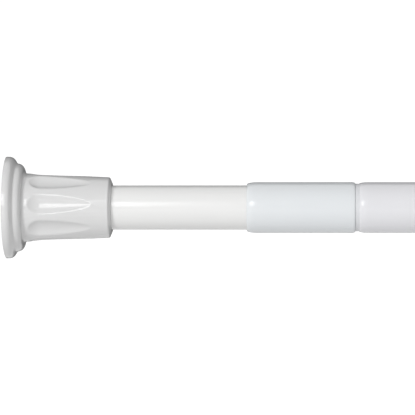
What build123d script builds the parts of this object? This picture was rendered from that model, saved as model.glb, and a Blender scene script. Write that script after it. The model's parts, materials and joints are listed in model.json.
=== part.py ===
from build123d import *
from math import asin, atan2, cos, degrees, sin, sqrt
import os

# An L-shaped shower curtain rod: two telescopic arms that meet at a bent corner tube.
# Sizes are in millimetres. The origin is the middle of the long arm's wall face.
# The long arm runs along +X from its wall, the short arm runs from the corner along +Y.

# Reach of the arms, pushed in as far as they go
long_reach = 1000.0  # long arm's wall face to the short arm's axis
short_reach = 650.0  # short arm's wall face to the long arm's axis
shown_tube = 67.9  # narrow tube between the cover and the lock collar

# Tubes
inner_tube_diameter = 22.2
inner_tube_wall = 0.8
outer_tube_wall = 0.9
collet_wall = 0.65
slide_clearance = 0.05  # radial, where a tube slides or turns in its guide
press_clearance = 0.02  # radial, where a piece is pressed home
butt_gap = 0.1  # between ends that meet

# Corner tube
bend_radius = 100.0  # at the tube's axis
bend_straight = 12.0  # straight run from the bend to each joint
neck_length = 45.0
neck_shoulder = 1.6
joint_round = 0.5  # rounded edges where the corner tube meets a large tube

# Lock collar
collar_length = 54.2
collar_wall = 0.7
mouth_round_length = 5.0
mouth_lip = 2.4
tail_round_length = 1.7
tail_round_drop = 0.55
pocket_depth = 0.25
pocket_angle = 48.0
bead_width = 1.6
bead_height = 0.2
bead_gap = 0.2  # between the bead and the collet's lands
mouth_edge = 0.15  # flat left at the mouth's edge

# Collet
nose_recess = 0.3  # back from the collar's mouth
nose_wall = 0.3
flange_width = 2.0  # shows between the collar and the large tube
flange_height = 0.15  # above the large tube's bore
shank_length = 30.0
slit_width = 1.6
slit_length = 36.0
pad_angle = 42.0
clamp_start = 7.0
clamp_length = 22.0
land_length = 5.0
finger_count = 3

# Large tube's front edge
front_round_length = 4.2
front_round_drop = 0.7

# Glide bush
bush_head_length = 14.0
bush_plug_length = 20.0
bush_wall = 2.0
bush_clearance = 0.15
stop_gap = 1.0

# Wall plate
plate_thickness = 3.2
screw_count = 3
screw_hole_diameter = 4.5
screw_head_diameter = 8.4
screw_edge = 0.8  # plate left outside a screw head
screw_gap = 0.1  # plate left between a screw head and the socket
socket_wall = 2.05
socket_depth = 20.0
rib_width = 2.2
rib_reach = 4.0

# Set screw
set_screw_diameter = 4.0
set_screw_key = 2.0
set_screw_key_depth = 1.4
set_screw_from_wall = 15.0
set_screw_bite = 1.6  # reaches this far inside the tube's outer face
thread_clearance = 0.05

# Cover
cover_gap = 0.3  # between the wall plate and the cover's rim
rim_wall = 2.8
rim_length = 3.2
bevel_length = 2.1
bevel_drop = 3.3
step_length = 3.6
step_taper = 0.8
step_round = 3.3
barrel_length = 43.2
nose_chamfer_length = 1.2
nose_chamfer_drop = 2.8
barrel_gap = 0.5  # between the socket and the barrel's inside
barrel_wall = 1.75  # left under the flutes
step_wall = 2.0
mouth_wall = 3.85
mouth_length = 8.2
mouth_clearance = 0.25
rim_round = 3.1
cove_round = 0.9  # foot of the bevel
root_round = 1.5  # foot of the barrel
nose_round = 1.0
end_round = 0.8
small_round = 0.5

# Flutes round the barrel, each a bullet with a ball at its thick end, which runs out to a point
flute_count = 8
flute_depth = 1.8
flute_ball = 11.0
flute_tip = 4.0
flute_belly = 176.0  # radius of the bullet's long side
flute_start = 9.7  # rose to the middle of the ball
flute_run = 25.0  # middle of the ball to the point
flute_turn = 5.8  # middle of the front flute above the horizontal
flute_edge_round = 1.8

# Grip ring
grip_section = 1.6
grip_side_gap = 0.15
grip_from_end = 4.0

# Corner screws
corner_screw_diameter = 3.8
corner_head_diameter = 7.0
corner_head_height = 2.0
corner_head_round = 0.9
corner_screw_reach = 3.4
corner_recess_width = 1.0
corner_recess_length = 3.6
corner_recess_depth = 1.1

# Radii that follow from the tubes
inner_radius = inner_tube_diameter / 2
inner_bore = inner_radius - inner_tube_wall
guide_bore = inner_radius + slide_clearance
outer_bore = guide_bore + collet_wall
outer_radius = outer_bore + outer_tube_wall
shank_radius = outer_bore - press_clearance

# Radii that follow from the wall plate
socket_radius = guide_bore + socket_wall
screw_circle = socket_radius + screw_gap + screw_head_diameter / 2
plate_radius = screw_circle + screw_head_diameter / 2 + screw_edge
rose_radius = plate_radius + cover_gap + rim_wall
step_radius = rose_radius - bevel_drop
barrel_bore = socket_radius + barrel_gap
barrel_root = barrel_bore + barrel_wall + flute_depth
mouth_bore = inner_radius + mouth_clearance
barrel_end = mouth_bore + mouth_wall
barrel_taper = (barrel_root - barrel_end) / barrel_length

# Places along an arm, from its wall face
rose_length = rim_length + bevel_length + step_length
cover_length = rose_length + barrel_length + nose_chamfer_length
collar_start = cover_length + shown_tube
collar_end = collar_start + collar_length
outer_start = collar_end + butt_gap + flange_width
bead_middle = collar_end - land_length - bead_gap - bead_width / 2
corner_run = bend_radius + bend_straight


def turned(points, rounds=None):
    """A solid turned about the X axis from a closed outline of (x, radius) points."""
    if rounds is None:
        outline = Polyline(*points, close=True)
    else:
        outline = FilletPolyline(*points, radius=rounds, close=True)
    return revolve(make_face(outline), Axis.X)


def ring(start, end, outer, inner):
    """A plain turned ring between two places on the X axis."""
    return turned([(start, inner), (end, inner), (end, outer), (start, outer)])


def rounded_bar(start, end, radius, front, rear):
    """A turned bar with a quarter-ellipse round at each end, each given as its length and drop."""
    front_length, front_drop = front
    rear_length, rear_drop = rear
    front_arc = EllipticalCenterArc(
        (start + front_length, radius - front_drop), front_length, front_drop, start_angle=90, arc_size=90
    )
    rear_arc = EllipticalCenterArc(
        (end - rear_length, radius - rear_drop), rear_length, rear_drop, start_angle=0, arc_size=90
    )
    outline = [
        Line((start, 0), (start, radius - front_drop)),
        front_arc,
        Line((start + front_length, radius), (end - rear_length, radius)),
        rear_arc,
        Line((end, radius - rear_drop), (end, 0)),
        Line((end, 0), (start, 0)),
    ]
    return revolve(make_face(outline), Axis.X)


def sector(start, end, outer, inner, middle, width):
    """The part of a ring that lies within an angle about the X axis."""
    half_ring = make_face(Polyline((start, inner), (end, inner), (end, outer), (start, outer), close=True))
    return Rot(X=middle - width / 2) * revolve(half_ring, Axis.X, revolution_arc=width)


def around(count, turn=0.0):
    """Angles of an even pattern about the X axis, in degrees."""
    return [turn + 360 * index / count for index in range(count)]


def drilled_down(diameter, place, depth_from, depth_to):
    """A vertical bar below the X axis, between two distances from it."""
    bar = Cylinder(diameter / 2, depth_to - depth_from)
    return Pos(place, 0, -(depth_from + depth_to) / 2) * bar


def make_wall_plate():
    """Disc with countersunk holes, and a ribbed socket that takes the tube."""
    socket_end = plate_thickness + socket_depth
    rib_top = rose_length - step_wall - cover_gap
    plate = turned(
        [
            (0, 0),
            (0, plate_radius),
            (plate_thickness, plate_radius),
            (plate_thickness, socket_radius),
            (socket_end, socket_radius),
            (socket_end, guide_bore),
            (plate_thickness, guide_bore),
            (plate_thickness, 0),
        ],
        [0, 0, small_round, small_round, small_round, 0, 0, 0],
    )
    rib_outline = Polyline(
        (plate_thickness - small_round, socket_radius - small_round),
        (plate_thickness - small_round, socket_radius + rib_reach),
        (plate_thickness, socket_radius + rib_reach),
        (rib_top, socket_radius),
        (rib_top, socket_radius - small_round),
        close=True,
    )
    rib = extrude(make_face(rib_outline), rib_width / 2, both=True)
    for angle in around(screw_count, 90 + 180 / screw_count):
        plate += Rot(X=angle) * rib
    hole_radius = screw_hole_diameter / 2
    head_radius = screw_head_diameter / 2
    sink = head_radius - hole_radius
    drill = turned(
        [
            (0, 0),
            (0, hole_radius),
            (plate_thickness - sink, hole_radius),
            (plate_thickness, head_radius),
            (rib_top, head_radius),
            (rib_top, 0),
        ]
    )
    for angle in around(screw_count, 90):
        plate -= Rot(X=angle) * Pos(0, screw_circle, 0) * drill
    hole = set_screw_diameter + 2 * thread_clearance
    plate -= drilled_down(hole, set_screw_from_wall, inner_radius - set_screw_bite, barrel_bore)
    return plate


def make_set_screw():
    """Headless screw with a hexagon key recess, screwed up through the socket into the tube's hole."""
    screw_top = socket_radius - small_round
    screw = drilled_down(set_screw_diameter, set_screw_from_wall, inner_radius - set_screw_bite, screw_top)
    key = extrude(RegularPolygon(set_screw_key / 2, 6, major_radius=False), set_screw_key_depth)
    return screw - Pos(set_screw_from_wall, 0, -screw_top) * key


def make_flute():
    """Cutter for one flute: a ball that runs into a slim bullet, tilted so that the flute ends in a point."""
    ball_place = rose_length + flute_start
    tip_place = ball_place + flute_run
    ball_height = barrel_root - barrel_taper * flute_start - flute_depth + flute_ball
    tip_height = barrel_root - barrel_taper * (flute_start + flute_run) + flute_tip
    run = sqrt((tip_place - ball_place) ** 2 + (ball_height - tip_height) ** 2)
    near = flute_belly - flute_ball
    far = flute_belly - flute_tip
    start_slope = asin((far**2 - near**2 - run**2) / (2 * near * run))
    end_slope = asin((far**2 - near**2 + run**2) / (2 * far * run))
    touch = (flute_ball * sin(start_slope), flute_ball * cos(start_slope))
    end = (run + flute_tip * sin(end_slope), flute_tip * cos(end_slope))
    outline = [
        CenterArc((0, 0), flute_ball, 180, -90 - degrees(start_slope)),
        RadiusArc(touch, end, flute_belly),
        Line(end, (end[0], 0)),
        Line((end[0], 0), (-flute_ball, 0)),
    ]
    cutter = revolve(make_face(outline), Axis.X)
    tilt = degrees(atan2(tip_height - ball_height, tip_place - ball_place))
    return Pos(ball_place, ball_height, 0) * Rot(Z=tilt) * cutter


def make_barrel():
    """Tapered barrel with a ring of flutes whose edges are softly rounded."""
    barrel = turned(
        [
            (rose_length, 0),
            (rose_length, barrel_root),
            (rose_length + barrel_length, barrel_end),
            (cover_length, barrel_end - nose_chamfer_drop),
            (cover_length, 0),
        ],
        [0, 0, nose_round, end_round, 0],
    )
    barrel = Rot(X=180 / flute_count) * barrel
    flute = make_flute()
    for angle in around(flute_count):
        barrel -= Rot(X=angle) * flute
    barrel = fillet(barrel.edges().filter_by(GeomType.BSPLINE), flute_edge_round)
    return Rot(X=180 - flute_turn) * barrel


def make_cover():
    """Stepped rose and fluted barrel in one hollow moulding."""
    cover = turned(
        [
            (0, 0),
            (0, rose_radius),
            (rim_length, rose_radius),
            (rim_length + bevel_length, step_radius),
            (rose_length, step_radius - step_taper),
            (rose_length, 0),
        ],
        [0, 0, rim_round, cove_round, step_round, 0],
    )
    cover += make_barrel()
    circles = cover.edges().filter_by(GeomType.CIRCLE).filter_by_position(Axis.X, rim_length, cover_length)
    roots = [edge for edge in circles if abs(edge.radius - barrel_root) < butt_gap]
    cover = fillet(roots, root_round)
    recess_depth = plate_thickness + cover_gap
    mouth_start = cover_length - mouth_length
    cover -= turned(
        [
            (0, 0),
            (0, plate_radius + cover_gap),
            (recess_depth, plate_radius + cover_gap),
            (recess_depth, step_radius - step_wall),
            (rose_length - step_wall, step_radius - step_wall),
            (rose_length - step_wall, barrel_bore),
            (mouth_start, barrel_bore),
            (mouth_start, mouth_bore),
            (cover_length, mouth_bore),
            (cover_length, 0),
        ],
        [0, 0, 0, 0, small_round, 0, small_round, small_round, 0, 0],
    )
    groove_half = grip_section / 2 + grip_side_gap
    groove_middle = cover_length - grip_from_end
    groove_radius = guide_bore + grip_section + press_clearance
    return cover - ring(groove_middle - groove_half, groove_middle + groove_half, groove_radius, guide_bore)


def make_grip_ring():
    """Rubber ring in the cover's mouth, which holds the cover on the tube."""
    middle_radius = guide_bore + grip_section / 2
    section = Pos(cover_length - grip_from_end, middle_radius) * Circle(grip_section / 2)
    return revolve(section, Axis.X)


def inner_end(reach):
    """Hidden end of the narrow tube, a bush head short of the corner tube's neck."""
    return reach - corner_run - neck_length - stop_gap - bush_head_length


def make_inner_tube(reach):
    """Narrow tube, from the floor of the wall plate's socket to the glide bush."""
    tube = ring(plate_thickness, inner_end(reach), inner_radius, inner_bore)
    hole = set_screw_diameter + 2 * thread_clearance
    return tube - drilled_down(hole, set_screw_from_wall, inner_bore - inner_tube_wall, socket_radius)


def make_glide_bush(reach):
    """Plug in the narrow tube's hidden end, with a head that runs in the large tube."""
    start = inner_end(reach)
    head_radius = outer_bore - bush_clearance
    plug_radius = inner_bore - press_clearance
    return turned(
        [
            (start - bush_plug_length, plug_radius - bush_wall),
            (start - bush_plug_length, plug_radius),
            (start, plug_radius),
            (start, head_radius),
            (start + bush_head_length, head_radius),
            (start + bush_head_length, plug_radius - bush_wall),
        ],
        [0, small_round, 0, 0, small_round, 0],
    )


def make_collet():
    """Slotted sleeve: nose and clamp pads under the collar, flange, and a shank pressed in the large tube."""
    sleeve_radius = outer_bore - 2 * slide_clearance
    pad_radius = outer_radius - collar_wall - slide_clearance
    nose_radius = guide_bore + nose_wall
    nose_start = collar_start + nose_recess
    sleeve_start = collar_start + mouth_lip + butt_gap
    tail = outer_start + shank_length
    collet = turned(
        [
            (nose_start, guide_bore),
            (nose_start, nose_radius),
            (sleeve_start, nose_radius),
            (sleeve_start, sleeve_radius),
            (collar_end, sleeve_radius),
            (outer_start - flange_width, outer_bore + flange_height),
            (outer_start, outer_bore + flange_height),
            (outer_start, shank_radius),
            (tail, shank_radius),
            (tail, guide_bore),
        ]
    )
    front_land = bead_middle - bead_width / 2 - bead_gap - land_length
    collet += ring(front_land, front_land + land_length, pad_radius, guide_bore)
    collet += ring(collar_end - land_length, collar_end, pad_radius, guide_bore)
    slit = Pos(nose_start + slit_length / 2, outer_radius / 2, 0) * Box(slit_length, outer_radius, slit_width)
    for angle in around(finger_count, 180 / finger_count):
        pad_end = collar_start + clamp_start + clamp_length
        collet += sector(collar_start + clamp_start, pad_end, pad_radius, guide_bore, angle, pad_angle)
    for angle in around(finger_count):
        collet -= Rot(X=angle) * slit
    return collet


def make_lock_collar():
    """Sleeve flush with the large tube, with a rolled mouth, release pockets and a snap bead inside."""
    bore = outer_radius - collar_wall
    mouth = guide_bore + nose_wall + slide_clearance
    mouth_drop = outer_radius - mouth - mouth_edge
    front = (mouth_round_length, mouth_drop)
    collar = rounded_bar(collar_start, collar_end, outer_radius, front, (tail_round_length, tail_round_drop))
    collar -= ring(collar_start, collar_start + mouth_lip, mouth, 0)
    collar -= ring(collar_start + mouth_lip, collar_end, bore, 0)
    collar += turned(
        [
            (bead_middle - bead_width / 2, bore + collar_wall / 2),
            (bead_middle - bead_width / 2, bore),
            (bead_middle - bead_width / 4, bore - bead_height),
            (bead_middle + bead_width / 4, bore - bead_height),
            (bead_middle + bead_width / 2, bore),
            (bead_middle + bead_width / 2, bore + collar_wall / 2),
        ]
    )
    pocket_start = collar_start + clamp_start - butt_gap
    pocket_end = collar_start + clamp_start + clamp_length + butt_gap
    for angle in around(finger_count):
        collar -= sector(pocket_start, pocket_end, bore + pocket_depth, mouth, angle, pocket_angle)
    return collar


def make_outer_tube(reach):
    """Large tube, rounded at the collar, with a screw hole at the corner tube."""
    end = reach - corner_run - butt_gap
    front = (front_round_length, front_round_drop)
    tube = rounded_bar(outer_start, end, outer_radius, front, (joint_round, joint_round))
    tube -= ring(outer_start, end, outer_bore, 0)
    hole = corner_screw_diameter + 2 * thread_clearance
    return tube - drilled_down(hole, end - neck_length / 2, inner_bore, outer_radius + outer_tube_wall)


def make_corner_bend():
    """Bent run of the corner tube, between the shoulders of its two necks."""
    shoulder = corner_run - neck_shoulder
    bend_start = (long_reach - bend_radius, 0)
    bend_end = (long_reach, bend_radius)
    path = [
        Line((long_reach - shoulder, 0), bend_start),
        RadiusArc(bend_start, bend_end, -bend_radius),
        Line(bend_end, (long_reach, shoulder)),
    ]
    section = Plane.YZ.offset(long_reach - shoulder) * (Circle(outer_radius) - Circle(outer_bore))
    return sweep(section, Wire(path))


def make_corner_neck(reach):
    """Necked end of the corner tube, in an arm's own frame."""
    joint = reach - corner_run
    neck_radius = outer_bore - slide_clearance
    neck_bore = neck_radius - outer_tube_wall
    neck = turned(
        [
            (joint - neck_length, neck_bore),
            (joint - neck_length, neck_radius),
            (joint, neck_radius),
            (joint, outer_radius),
            (joint + neck_shoulder, outer_radius),
            (joint + neck_shoulder, neck_bore),
        ],
        [0, small_round / 2, 0, joint_round, 0, 0],
    )
    middle = joint - butt_gap - neck_length / 2
    return neck - drilled_down(corner_screw_diameter, middle, neck_bore - outer_tube_wall, outer_radius)


def make_corner_screw(reach):
    """Small screw with a rounded head and a cross recess, driven up from below."""
    middle = reach - corner_run - butt_gap - neck_length / 2
    head = Cylinder(corner_head_diameter / 2, corner_head_height)
    head = fillet(head.edges().filter_by(GeomType.CIRCLE).sort_by(Axis.Z)[:1], corner_head_round)
    recess = Box(corner_recess_length, corner_recess_width, corner_recess_depth)
    recess += Box(corner_recess_width, corner_recess_length, corner_recess_depth)
    head -= Pos(0, 0, (corner_recess_depth - corner_head_height) / 2) * recess
    screw = Pos(middle, 0, -outer_radius - corner_head_height / 2) * head
    shank = corner_screw_diameter - 2 * thread_clearance
    return screw + drilled_down(shank, middle, outer_radius - corner_screw_reach, outer_radius)


def make_arm(name, reach, place, fittings):
    """All the pieces of one arm, moved to its place."""
    tubes = {
        "inner_tube": make_inner_tube(reach),
        "glide_bush": make_glide_bush(reach),
        "outer_tube": make_outer_tube(reach),
    }
    pieces = fittings | tubes
    return {f"{name}_{piece}": place * solid for piece, solid in pieces.items()}


long_place = Location((0, 0, 0))
short_place = Location((long_reach, short_reach, 0), (0, 0, -90))
fittings = {
    "wall_plate": make_wall_plate(),
    "set_screw": make_set_screw(),
    "cover": make_cover(),
    "grip_ring": make_grip_ring(),
    "collet": make_collet(),
    "lock_collar": make_lock_collar(),
}
nodes = make_arm("long", long_reach, long_place, fittings)
nodes |= make_arm("short", short_reach, short_place, fittings)
long_neck = long_place * make_corner_neck(long_reach)
short_neck = short_place * make_corner_neck(short_reach)
nodes["corner_bend"] = make_corner_bend() + long_neck + short_neck
nodes["corner_screws"] = Compound(
    children=[long_place * make_corner_screw(long_reach), short_place * make_corner_screw(short_reach)]
)

os.makedirs("parts", exist_ok=True)
for node, solid in nodes.items():
    export_step(solid, f"parts/{node}.step")
    print(node, len(solid.solids()), "solid", round(solid.volume / 1000, 2), "cm3")
long_travel = inner_end(long_reach) - outer_start - shank_length
short_travel = inner_end(short_reach) - outer_start - shank_length
print("travel of the long arm", round(long_travel, 2), "mm, of the short arm", round(short_travel, 2), "mm")
print("screw circle", round(2 * screw_circle, 3), "mm, large tube", round(2 * outer_radius, 3), "mm across")
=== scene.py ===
# %% [markdown]
# # A white L-shaped shower curtain rod
# The rod is two telescopic arms that meet at a bent corner tube. Each arm ends at a wall in a stepped,
# fluted rose. All of its pieces are hard: steel tube, moulded plastic, nylon, rubber and a few small screws.
# Their forms come ready made and to scale, so this lesson is about finish and light: how white paint and white
# plastic are told apart on a white ground, where colour alone says almost nothing.

# %% Load the rod
import bpy
import json
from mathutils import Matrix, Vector


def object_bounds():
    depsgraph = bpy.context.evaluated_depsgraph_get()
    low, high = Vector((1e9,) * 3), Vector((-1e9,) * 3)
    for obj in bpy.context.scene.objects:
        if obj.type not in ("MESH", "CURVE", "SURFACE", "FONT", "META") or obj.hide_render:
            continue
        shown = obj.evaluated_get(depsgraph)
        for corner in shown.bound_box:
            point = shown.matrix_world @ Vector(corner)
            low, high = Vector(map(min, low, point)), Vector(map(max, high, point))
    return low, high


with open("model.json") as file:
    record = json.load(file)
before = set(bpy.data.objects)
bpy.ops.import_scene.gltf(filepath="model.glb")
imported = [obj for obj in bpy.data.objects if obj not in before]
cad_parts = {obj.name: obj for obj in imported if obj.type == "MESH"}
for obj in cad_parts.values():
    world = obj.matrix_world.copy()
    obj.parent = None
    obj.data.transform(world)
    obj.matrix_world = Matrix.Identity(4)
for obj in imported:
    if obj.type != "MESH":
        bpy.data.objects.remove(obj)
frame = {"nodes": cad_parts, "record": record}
solid_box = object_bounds()
nodes = frame["nodes"]
print("pieces loaded:", len(nodes), "box from", tuple(solid_box[0]), "to", tuple(solid_box[1]))

# %% [markdown]
# ## Patterns that live in the object
# Every finish below is made of the same few steps: a noise in the rod's own coordinates, spread between two
# tones, between two roughnesses, or raised as a bump. An image wrapped round the tube would need a seam, and it
# would be blurred close up. Noise counted in features per metre stays sharp at any distance and keeps its real
# size.

# %% A bare material and a noise
soft_detail = 2.0  # layers of ever finer noise
fine_detail = 3.0
even_stretch = (1.0, 1.0, 1.0)


def new_material(name):
    """A node material with its shader, ready for patterns."""
    material = bpy.data.materials.new(name)
    material.use_nodes = True
    tree = material.node_tree
    return material, tree, tree.nodes["Principled BSDF"]


def noise(tree, per_metre, detail, stretch=even_stretch):
    """A noise pattern with so many features per metre."""
    place = tree.nodes.new("ShaderNodeTexCoord")
    mapping = tree.nodes.new("ShaderNodeMapping")
    mapping.inputs["Scale"].default_value = stretch
    tree.links.new(place.outputs["Object"], mapping.inputs["Vector"])
    pattern = tree.nodes.new("ShaderNodeTexNoise")
    pattern.inputs["Scale"].default_value = per_metre
    pattern.inputs["Detail"].default_value = detail
    tree.links.new(mapping.outputs["Vector"], pattern.inputs["Vector"])
    return pattern.outputs["Fac"]


print("materials that came with the rod:", len(bpy.data.materials))

# %% Tone and gloss from a noise
noise_low = 0.35
noise_high = 0.65


def ranged(tree, pattern, low, high):
    """A pattern spread between two values."""
    spread = tree.nodes.new("ShaderNodeMapRange")
    spread.inputs["From Min"].default_value = noise_low
    spread.inputs["From Max"].default_value = noise_high
    spread.inputs["To Min"].default_value = low
    spread.inputs["To Max"].default_value = high
    tree.links.new(pattern, spread.inputs["Value"])
    return spread.outputs["Result"]


def two_tone(tree, pattern, first, second):
    """A colour that drifts between two tones with a pattern."""
    ramp = tree.nodes.new("ShaderNodeValToRGB")
    ramp.color_ramp.elements[0].position = noise_low
    ramp.color_ramp.elements[1].position = noise_high
    ramp.color_ramp.elements[0].color = (*first, 1.0)
    ramp.color_ramp.elements[1].color = (*second, 1.0)
    tree.links.new(pattern, ramp.inputs["Fac"])
    return ramp.outputs["Color"]


print("most of a noise lies between", noise_low, "and", noise_high)

# %% Relief from a noise
micron = 0.000001


def bumped(tree, pattern, depth, strength):
    """A surface normal that follows a pattern raised by a depth in metres."""
    bump = tree.nodes.new("ShaderNodeBump")
    bump.inputs["Strength"].default_value = strength
    bump.inputs["Distance"].default_value = depth
    tree.links.new(pattern, bump.inputs["Height"])
    return bump.outputs["Normal"]


print("relief is counted in microns of", micron, "m")

# %% [markdown]
# ## Baked paint on the tubes
# The tubes are sprayed with white powder paint and baked. Such paint is glossy, but never a mirror: it sets
# with a faint orange peel, a few millimetres across and some thousandths of a millimetre deep, which breaks up
# the edges of reflections. A clear coat over a dull base would give a sharper second reflection, as on a car,
# so one layer is used. The narrow tubes and the lock collars come from two paint baths that differ slightly:
# the narrow tubes are neutral, the collars lean to green-blue. The large tubes carry the narrow tubes' paint
# made darker and violet-blue, which is painted shade with a cool cast.

# %% How the paint is made
paint_patches = 9.0  # drifts of tone, per metre
paint_haze = 60.0  # drifts of gloss, per metre
paint_peel = 420.0  # bumps of orange peel, per metre
peel_detail = 1.5
peel_depth = 20 * micron
peel_strength = 0.35
paint_gloss = (0.14, 0.18)
paint_ior = 1.5


def baked_paint(name, tone, tint):
    """Gloss white paint with orange peel and a slow drift of tone along the tube."""
    material, tree, shader = new_material(name)
    patches = noise(tree, paint_patches, soft_detail)
    haze = noise(tree, paint_haze, fine_detail)
    peel = noise(tree, paint_peel, peel_detail)
    tree.links.new(two_tone(tree, patches, tone, tint), shader.inputs["Base Color"])
    tree.links.new(ranged(tree, haze, *paint_gloss), shader.inputs["Roughness"])
    tree.links.new(bumped(tree, peel, peel_depth, peel_strength), shader.inputs["Normal"])
    shader.inputs["IOR"].default_value = paint_ior
    return material


print("orange peel:", round(1000 / paint_peel, 1), "mm apart")

# %% Two baths of paint and a copy with painted shade
narrow_paint = baked_paint("narrow_paint", tone=(0.83, 0.83, 0.82), tint=(0.815, 0.815, 0.81))
collar_paint = baked_paint("collar_paint", tone=(0.765, 0.79, 0.805), tint=(0.755, 0.78, 0.80))
# The narrow tubes' paint made darker and bluer for the large tubes: painted shade with a cool cast.
large_paint_painted_shade = baked_paint("large_paint_painted_shade", tone=(0.775, 0.775, 0.80), tint=(0.765, 0.765, 0.79))
print("paints:", narrow_paint.name, collar_paint.name, large_paint_painted_shade.name)

# %% [markdown]
# ## Moulded plastic on the roses
# The rose and its fluted barrel are one plastic moulding from a polished mould. It is a little greyer than the
# paint beside it and a shade glossier, with a finer, shallower grain, so reflections keep sharper edges in the
# flutes than on the tubes. The plate behind it and the nylon collet are plainer mouldings with a satin face.
# One recipe serves all three, with its own tones, gloss and depth of grain for each.

# %% How the plastic is made
plastic_patches = 35.0  # drifts of tone, per metre
plastic_haze = 140.0  # drifts of gloss, per metre
plastic_grain = 900.0  # grains, per metre
grain_strength = 0.3
plastic_ior = 1.55


def moulded_plastic(name, tone, tint, gloss, grain_depth):
    """White plastic with a fine mould grain."""
    material, tree, shader = new_material(name)
    patches = noise(tree, plastic_patches, soft_detail)
    haze = noise(tree, plastic_haze, fine_detail)
    grain = noise(tree, plastic_grain, soft_detail)
    tree.links.new(two_tone(tree, patches, tone, tint), shader.inputs["Base Color"])
    tree.links.new(ranged(tree, haze, *gloss), shader.inputs["Roughness"])
    tree.links.new(bumped(tree, grain, grain_depth, grain_strength), shader.inputs["Normal"])
    shader.inputs["IOR"].default_value = plastic_ior
    return material


print("mould grain:", round(1000 / plastic_grain, 1), "mm apart")

# %% Three plastics
cover_plastic = moulded_plastic(
    "cover_plastic",
    tone=(0.705, 0.705, 0.705),
    tint=(0.69, 0.69, 0.69),
    gloss=(0.12, 0.15),
    grain_depth=10 * micron,
)
plate_plastic = moulded_plastic(
    "plate_plastic",
    tone=(0.72, 0.72, 0.70),
    tint=(0.69, 0.69, 0.67),
    gloss=(0.42, 0.55),
    grain_depth=40 * micron,
)
nylon = moulded_plastic(
    "nylon",
    tone=(0.72, 0.73, 0.75),
    tint=(0.70, 0.71, 0.73),
    gloss=(0.38, 0.48),
    grain_depth=20 * micron,
)
print("plastics:", cover_plastic.name, plate_plastic.name, nylon.name)

# %% [markdown]
# ## Rubber
# The ring in each cover's mouth is matt black rubber. One fine noise gives it tone, gloss and relief together:
# where the grain stands up it is paler and rougher. A flat black would look like a hole.

# %% Rubber
rubber_grain = 1400.0  # grains, per metre
rubber_dark = (0.030, 0.030, 0.030)
rubber_pale = (0.048, 0.047, 0.046)
rubber_gloss = (0.62, 0.78)
rubber_depth = 30 * micron
rubber_strength = 0.4


def black_rubber(name):
    """Matt rubber with a fine grain."""
    material, tree, shader = new_material(name)
    grain = noise(tree, rubber_grain, soft_detail)
    tree.links.new(two_tone(tree, grain, rubber_dark, rubber_pale), shader.inputs["Base Color"])
    tree.links.new(ranged(tree, grain, *rubber_gloss), shader.inputs["Roughness"])
    tree.links.new(bumped(tree, grain, rubber_depth, rubber_strength), shader.inputs["Normal"])
    return material


ring_rubber = black_rubber("ring_rubber")
print("rubber:", ring_rubber.name)

# %% [markdown]
# ## Zinc
# The screws are steel with a zinc plating, bright but not polished. Their lines run round the screw and blur
# what they reflect. Every screw stands upright, so a noise that is squeezed along the height draws such lines
# without any unwrapping.

# %% Zinc
zinc_lines = 1100.0  # lines, per metre
zinc_squeeze = (1.0, 1.0, 6.0)
zinc_dark = (0.56, 0.57, 0.59)
zinc_pale = (0.68, 0.68, 0.69)
zinc_gloss = (0.26, 0.40)


def zinc_plate(name):
    """Bright zinc on steel with fine lines round the screw."""
    material, tree, shader = new_material(name)
    lines = noise(tree, zinc_lines, fine_detail, zinc_squeeze)
    tree.links.new(two_tone(tree, lines, zinc_dark, zinc_pale), shader.inputs["Base Color"])
    tree.links.new(ranged(tree, lines, *zinc_gloss), shader.inputs["Roughness"])
    shader.inputs["Metallic"].default_value = 1.0
    return material


screw_zinc = zinc_plate("screw_zinc")
print("zinc:", screw_zinc.name)

# %% [markdown]
# ## Dress the pieces
# The record names a material slot for each piece, and each slot has one finish. The tubes share a slot, but
# the large tubes are picked out by name for a darker, violet-blue copy of the paint, which is painted shade
# with a cool cast.

# %% Put each finish on its pieces
finish_of_slot = {
    "tube_white": narrow_paint,
    "collar_white": collar_paint,
    "cover_white": cover_plastic,
    "plate_white": plate_plastic,
    "nylon": nylon,
    "ring_rubber": ring_rubber,
    "screw_steel": screw_zinc,
}
large_tubes = {"long_outer_tube", "short_outer_tube", "corner_bend"}
subparts = frame["record"]["subparts"]
for part in subparts:
    piece = nodes[part["node"]]
    finish = large_paint_painted_shade if part["node"] in large_tubes else finish_of_slot[part["material_slot"]]
    piece.data.materials.clear()
    piece.data.materials.append(finish)
print("dressed:", len(subparts), "pieces")

# %% [markdown]
# ## White ground
# The rod hangs in front of plain white. A camera sees the floor and the room at full white, and so do
# reflections, but the light that they shed on the rod stays at a plain level. A brighter lamp could also burn
# the ground out, but it would burn out the white rod first.

# %% Rays that look straight at a surface
direct_rays = ("Is Camera Ray", "Is Glossy Ray", "Is Transmission Ray")


def seen_directly(tree):
    """One for rays from the camera, from a reflection or through glass, zero for light that spreads."""
    path = tree.nodes.new("ShaderNodeLightPath")
    seen = path.outputs[direct_rays[0]]
    for kind in direct_rays[1:]:
        larger = tree.nodes.new("ShaderNodeMath")
        larger.operation = "MAXIMUM"
        tree.links.new(seen, larger.inputs[0])
        tree.links.new(path.outputs[kind], larger.inputs[1])
        seen = larger.outputs["Value"]
    return seen


print("kinds of ray that see the ground as white:", len(direct_rays))

# %% [markdown]
# ## Room
# The room is one even white all round. For the camera alone it is lifted a hair over white, because the
# denoiser that cleans the picture leaves a faint grain in a tone that is just white.

# %% Room
room_light = 0.46  # shed on the rod
room_shown = 1.0  # in reflections
camera_lift = 0.08
white = (1.0, 1.0, 1.0, 1.0)

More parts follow.
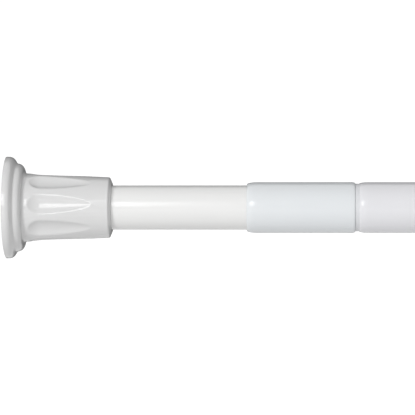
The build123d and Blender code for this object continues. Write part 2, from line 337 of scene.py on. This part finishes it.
world = bpy.data.worlds.new("white_room")
bpy.context.scene.world = world
world.use_nodes = True
room = world.node_tree
level = room.nodes.new("ShaderNodeMapRange")
level.inputs["To Min"].default_value = room_light
level.inputs["To Max"].default_value = room_shown
room.links.new(seen_directly(room), level.inputs["Value"])
rays = room.nodes.new("ShaderNodeLightPath")
lifted = room.nodes.new("ShaderNodeMath")
lifted.operation = "MULTIPLY_ADD"
lifted.inputs[1].default_value = camera_lift
room.links.new(rays.outputs["Is Camera Ray"], lifted.inputs[0])
room.links.new(level.outputs["Result"], lifted.inputs[2])
sky = room.nodes["Background"]
sky.inputs["Color"].default_value = white
room.links.new(lifted.outputs["Value"], sky.inputs["Strength"])
print("room light:", room_light)

# %% [markdown]
# ## Floor
# The floor lies well below the rod, as under a rod on a wall. Near the rod it glows less, so that a soft shadow
# still shows on it. Far away it glows enough to melt into the room, and no horizon crosses the picture. From
# below the floor is clear, so that the rod's underside can be looked at too.

# %% How the floor glows
glow_near = 0.42
glow_far = 0.7
near_reach = 1.2  # from the rod's middle
far_reach = 3.5
rod_middle = (solid_box[0] + solid_box[1]) / 2


def floor_glow(tree, place):
    """A glow that rises with the distance from the rod, for rays that see the floor directly."""
    away = tree.nodes.new("ShaderNodeVectorMath")
    away.operation = "DISTANCE"
    away.inputs[1].default_value = rod_middle
    tree.links.new(place.outputs["Position"], away.inputs[0])
    rise = tree.nodes.new("ShaderNodeMapRange")
    rise.inputs["From Min"].default_value = near_reach
    rise.inputs["From Max"].default_value = far_reach
    rise.inputs["To Min"].default_value = glow_near
    rise.inputs["To Max"].default_value = glow_far
    tree.links.new(away.outputs["Value"], rise.inputs["Value"])
    shown = tree.nodes.new("ShaderNodeMath")
    shown.operation = "MULTIPLY"
    tree.links.new(rise.outputs["Result"], shown.inputs[0])
    tree.links.new(seen_directly(tree), shown.inputs[1])
    return shown.outputs["Value"]


print("rod's middle:", tuple(rod_middle))

# %% Floor finish
floor_tone = (0.80, 0.80, 0.80, 1.0)
floor_roughness = 0.9


def clear_behind(tree, place, shader):
    """Lets a look at a surface's back pass through it."""
    clear = tree.nodes.new("ShaderNodeBsdfTransparent")
    sided = tree.nodes.new("ShaderNodeMixShader")
    tree.links.new(place.outputs["Backfacing"], sided.inputs["Fac"])
    tree.links.new(shader.outputs["BSDF"], sided.inputs[1])
    tree.links.new(clear.outputs["BSDF"], sided.inputs[2])
    tree.links.new(sided.outputs["Shader"], tree.nodes["Material Output"].inputs["Surface"])


def white_floor(name):
    """A pale matt floor that reads as white to the camera and keeps a soft shadow."""
    material, tree, shader = new_material(name)
    shader.inputs["Base Color"].default_value = floor_tone
    shader.inputs["Roughness"].default_value = floor_roughness
    shader.inputs["Specular IOR Level"].default_value = 0.0
    shader.inputs["Emission Color"].default_value = white
    place = tree.nodes.new("ShaderNodeNewGeometry")
    tree.links.new(floor_glow(tree, place), shader.inputs["Emission Strength"])
    clear_behind(tree, place, shader)
    return material


floor_white = white_floor("floor_white")
print("floor finish:", floor_white.name)

# %% Lay the floor
floor_drop = 0.8  # below the rod
floor_half = 12.0


def card(name, corners, material):
    """A flat four-sided card that belongs to the studio."""
    mesh = bpy.data.meshes.new(name)
    mesh.from_pydata(corners, [], [(0, 1, 2, 3)])
    mesh.materials.append(material)
    piece = bpy.data.objects.new(name, mesh)
    bpy.context.scene.collection.objects.link(piece)
    return piece


floor_height = solid_box[0].z - floor_drop
square = [(-1, -1), (1, -1), (1, 1), (-1, 1)]
floor_corners = [(x * floor_half, y * floor_half, floor_height) for x, y in square]
card("floor", floor_corners, floor_white)
print("floor at", round(floor_height, 4))

# %% [markdown]
# ## Lamps
# A white object on white is drawn by its highlights and its edges. Only one lamp shows in the gloss: a small
# softbox above the camera, which draws the narrow streak along the tube and in the flute that faces it. The
# other lamps give body tone. They stand for white walls, which reflections already show, so they are kept out
# of them. A broad lamp in front, left of the camera, lights the side in the picture, and a weak strip below it
# lifts the underside. Two more stand behind and beside the rod, for those who walk round it: the back lamp for
# the inside of the corner, the side lamp for the short arm.

# %% How a lamp is made
def facing(place, target):
    """The turn that makes a lamp or camera at a place look at a target."""
    return (Vector(target) - Vector(place)).to_track_quat("-Z", "Y")


def area_lamp(name, place, target, width, height, power):
    """A soft lamp with four sides that faces a point."""
    data = bpy.data.lights.new(name, "AREA")
    data.shape = "RECTANGLE"
    data.size = width
    data.size_y = height
    data.energy = power
    lamp = bpy.data.objects.new(name, data)
    lamp.location = place
    lamp.rotation_mode = "QUATERNION"
    lamp.rotation_quaternion = facing(place, target)
    bpy.context.scene.collection.objects.link(lamp)
    return lamp


softbox = area_lamp(
    "softbox", place=(-0.10, -0.75, 0.24), target=(0.08, 0.0, 0.0), width=0.28, height=0.33, power=1.32
)
print("lamp in the gloss:", softbox.name)

# %% Lamps for body tone
front = area_lamp("front", place=(-2.3, -4.2, 0.8), target=(0.45, 0.1, 0.0), width=0.9, height=0.9, power=80.0)
low = area_lamp("low", place=(0.2, -1.7, -0.38), target=(0.3, 0.0, 0.0), width=0.9, height=0.15, power=2.1)
back = area_lamp("back", place=(-0.5, 5.0, 0.2), target=(0.5, 0.3, 0.0), width=0.9, height=0.9, power=100.0)
side = area_lamp("side", place=(2.4, 1.3, 0.5), target=(1.0, 0.3, 0.0), width=0.6, height=0.6, power=4.5)
for lamp in (front, low, back, side):
    lamp.visible_glossy = False
print("lamps for body tone:", front.name, low.name, back.name, side.name)

# %% [markdown]
# ## Black flags
# Glossy white paint turns up a white room's reflection at its edges, and the outline would vanish.
# Photographers stand black card out of sight behind and beside such a piece, and the edges then mirror the card
# and go dark. The flags here are seen by reflections only, so they take no light away.

# %% Flags
flag_black = (0.02, 0.02, 0.02, 1.0)
flag_roughness = 1.0
flag_left = -2.0
flag_near = -1.2
flag_back = 2.2
flag_side = 3.2
flag_top = 3.2


def standing(start, end):
    """Corners of a card that stands on the floor between two points."""
    top = [(*end, flag_top), (*start, flag_top)]
    return [(*start, floor_height), (*end, floor_height), *top]


def black_card(name, corners):
    """A black card that only reflections show."""
    material, _, shader = new_material(name)
    shader.inputs["Base Color"].default_value = flag_black
    shader.inputs["Roughness"].default_value = flag_roughness
    flag = card(name, corners, material)
    flag.visible_camera = False
    flag.visible_diffuse = False
    flag.visible_shadow = False
    return flag


back_flag = black_card("back_flag", standing((flag_left, flag_back), (flag_side, flag_back)))
side_flag = black_card("side_flag", standing((flag_side, flag_back), (flag_side, flag_near)))
print("flags:", back_flag.name, side_flag.name)

# %% [markdown]
# ## Camera
# The picture looks straight at the end of the long arm from a metre and a bit, with a long lens. The camera
# stands opposite the lock collar, so the rose at the left shows a sliver of its stepped front. A shorter lens
# from nearer by would show more of that front and bend the rings into rounder ovals.

# %% Camera
camera_place = Vector((0.150, -1.21, 0.0))
aim = Vector((0.1013, 0.0, 0.0))
shown_width = 0.2087
film_width = 36.0  # millimetres

camera_data = bpy.data.cameras.new("camera")
camera_data.sensor_width = film_width
camera_data.lens = film_width * (camera_place - aim).length / shown_width
camera = bpy.data.objects.new("camera", camera_data)
camera.location = camera_place
camera.rotation_mode = "QUATERNION"
camera.rotation_quaternion = facing(camera_place, aim)
bpy.context.scene.collection.objects.link(camera)
bpy.context.scene.camera = camera
bpy.context.scene.view_settings.view_transform = "Standard"
print("lens", round(camera_data.lens, 1), "mm")
